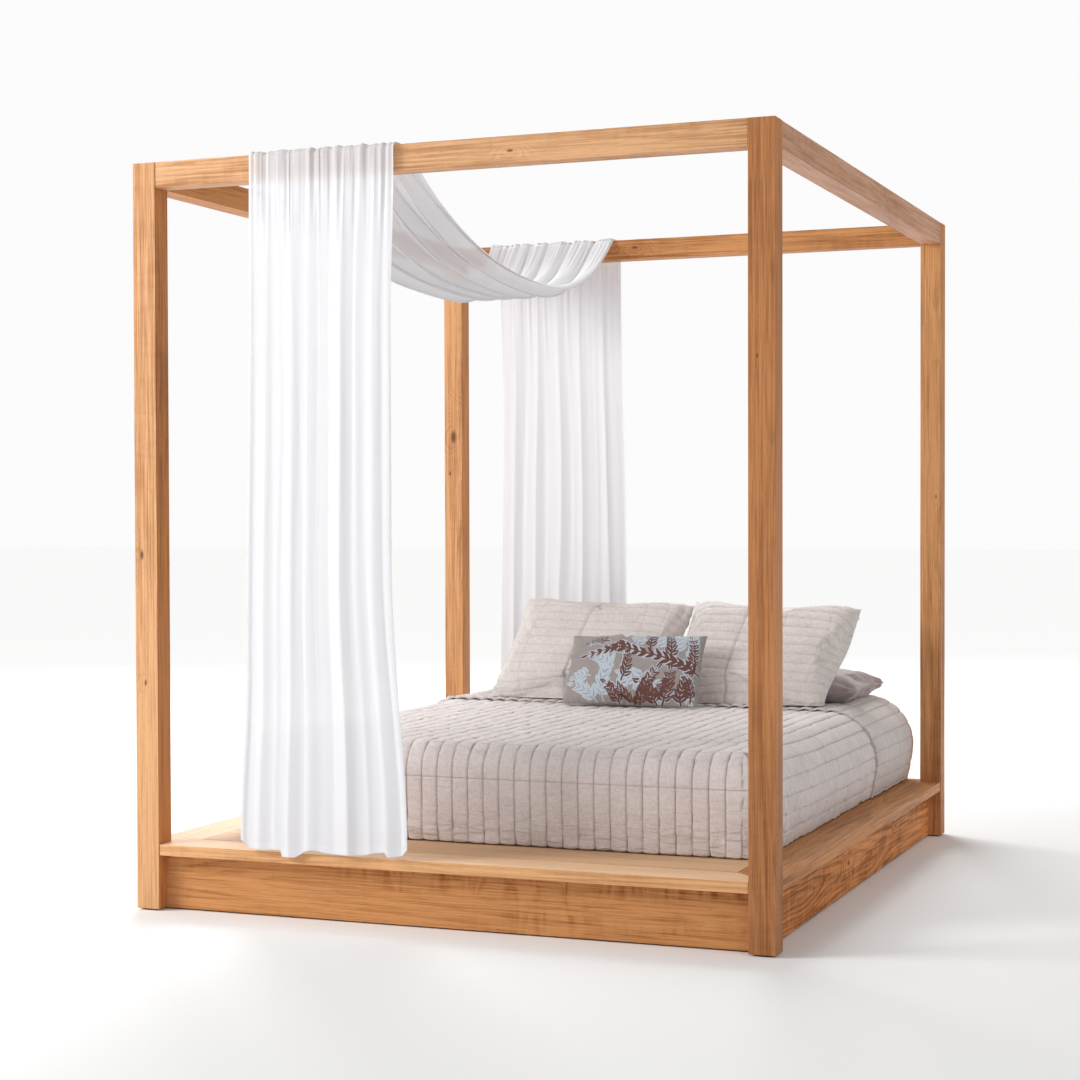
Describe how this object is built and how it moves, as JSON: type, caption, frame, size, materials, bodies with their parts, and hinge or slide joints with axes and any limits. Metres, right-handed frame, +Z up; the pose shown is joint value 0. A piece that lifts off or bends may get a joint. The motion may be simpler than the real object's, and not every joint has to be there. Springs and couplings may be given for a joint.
{
  "type": "four poster canopy bed",
  "caption": "Teak four poster bed with square posts, an open canopy frame, a low platform with a ledge round it, a quilted mattress, cushions and a sheer scarf curtain.",
  "frame": {"origin": "on the floor under the centre of the frame, which is also the bottom centre of the whole object's box", "axes": "+X to the right as seen from the foot, +Y from the foot to the head, +Z up"},
  "size_m": [1.896, 2.43, 2.169],
  "materials": {
    "teak": "oiled, satin, straight and cathedral grain with small knots",
    "deck_teak": "oiled, satin, straight grain",
    "hardwood": "sanded, unfinished",
    "steel": "plain turned",
    "felt": "dense wool felt",
    "ticking": "woven ticking",
    "quilt_linen": "washed linen, channel quilted",
    "sham_linen": "washed linen, channel quilted",
    "satin": "cotton sateen, soft sheen",
    "printed_cotton": "printed with a leafy branch in brown and pale blue",
    "voile": "sheer woven voile"
  },
  "bodies": {
    "bed_frame": {"post_front_left": "teak", "post_front_right": "teak", "post_rear_left": "teak", "post_rear_right": "teak", "top_rail_foot": "teak", "top_rail_head": "teak", "top_rail_left": "teak", "top_rail_right": "teak", "ledge_board_foot": "teak", "ledge_board_head": "teak", "ledge_board_left": "teak", "ledge_board_right": "teak", "apron_foot": "teak", "apron_head": "teak", "apron_left": "teak", "apron_right": "teak", "deck_plank_01": "deck_teak", "deck_plank_02": "deck_teak", "deck_plank_03": "deck_teak", "deck_plank_04": "deck_teak", "deck_plank_05": "deck_teak", "deck_plank_06": "deck_teak", "deck_plank_07": "deck_teak", "deck_plank_08": "deck_teak", "deck_plank_09": "deck_teak", "deck_plank_10": "deck_teak", "cleat_foot": "hardwood", "cleat_head": "hardwood", "cleat_left": "hardwood", "cleat_right": "hardwood", "centre_beam": "hardwood", "centre_leg_foot": "hardwood", "centre_leg_head": "hardwood", "corner_block_front_left": "hardwood", "corner_block_front_right": "hardwood", "corner_block_rear_left": "hardwood", "corner_block_rear_right": "hardwood", "rail_dowel_front_left": "steel", "rail_dowel_front_left_side": "steel", "rail_dowel_front_right": "steel", "rail_dowel_front_right_side": "steel", "rail_dowel_rear_left": "steel", "rail_dowel_rear_left_side": "steel", "rail_dowel_rear_right": "steel", "rail_dowel_rear_right_side": "steel", "floor_glide_front_left": "felt", "floor_glide_front_right": "felt", "floor_glide_rear_left": "felt", "floor_glide_rear_right": "felt"},
    "bedding": {"mattress": "ticking", "quilt": "quilt_linen", "quilt_turn_down": "quilt_linen", "pillow_left": "satin", "pillow_right": "satin"},
    "left_sham": {"sham_left": "sham_linen"},
    "right_sham": {"sham_right": "sham_linen"},
    "accent": {"accent_cushion": "printed_cotton"},
    "scarf": {"scarf_curtain": "voile"}
  },
  "joints": [
    {"name": "mattress_lift", "type": "slide", "parent": "bed_frame", "child": "bedding", "axis": [0, 0, 1], "range_m": [0, 0.25]},
    {"name": "sham_left_lift", "type": "slide", "parent": "bedding", "child": "left_sham", "axis": [0, 0.7314, 0.682], "range_m": [0, 0.22]},
    {"name": "sham_right_lift", "type": "slide", "parent": "bedding", "child": "right_sham", "axis": [0, 0.7314, 0.682], "range_m": [0, 0.22]},
    {"name": "accent_cushion_lift", "type": "slide", "parent": "bedding", "child": "accent", "axis": [0, 0, 1], "range_m": [0, 0.25]},
    {"name": "curtain_slide", "type": "slide", "parent": "bed_frame", "child": "scarf", "axis": [1, 0, 0], "range_m": [-0.1, 0.85]}
  ]
}
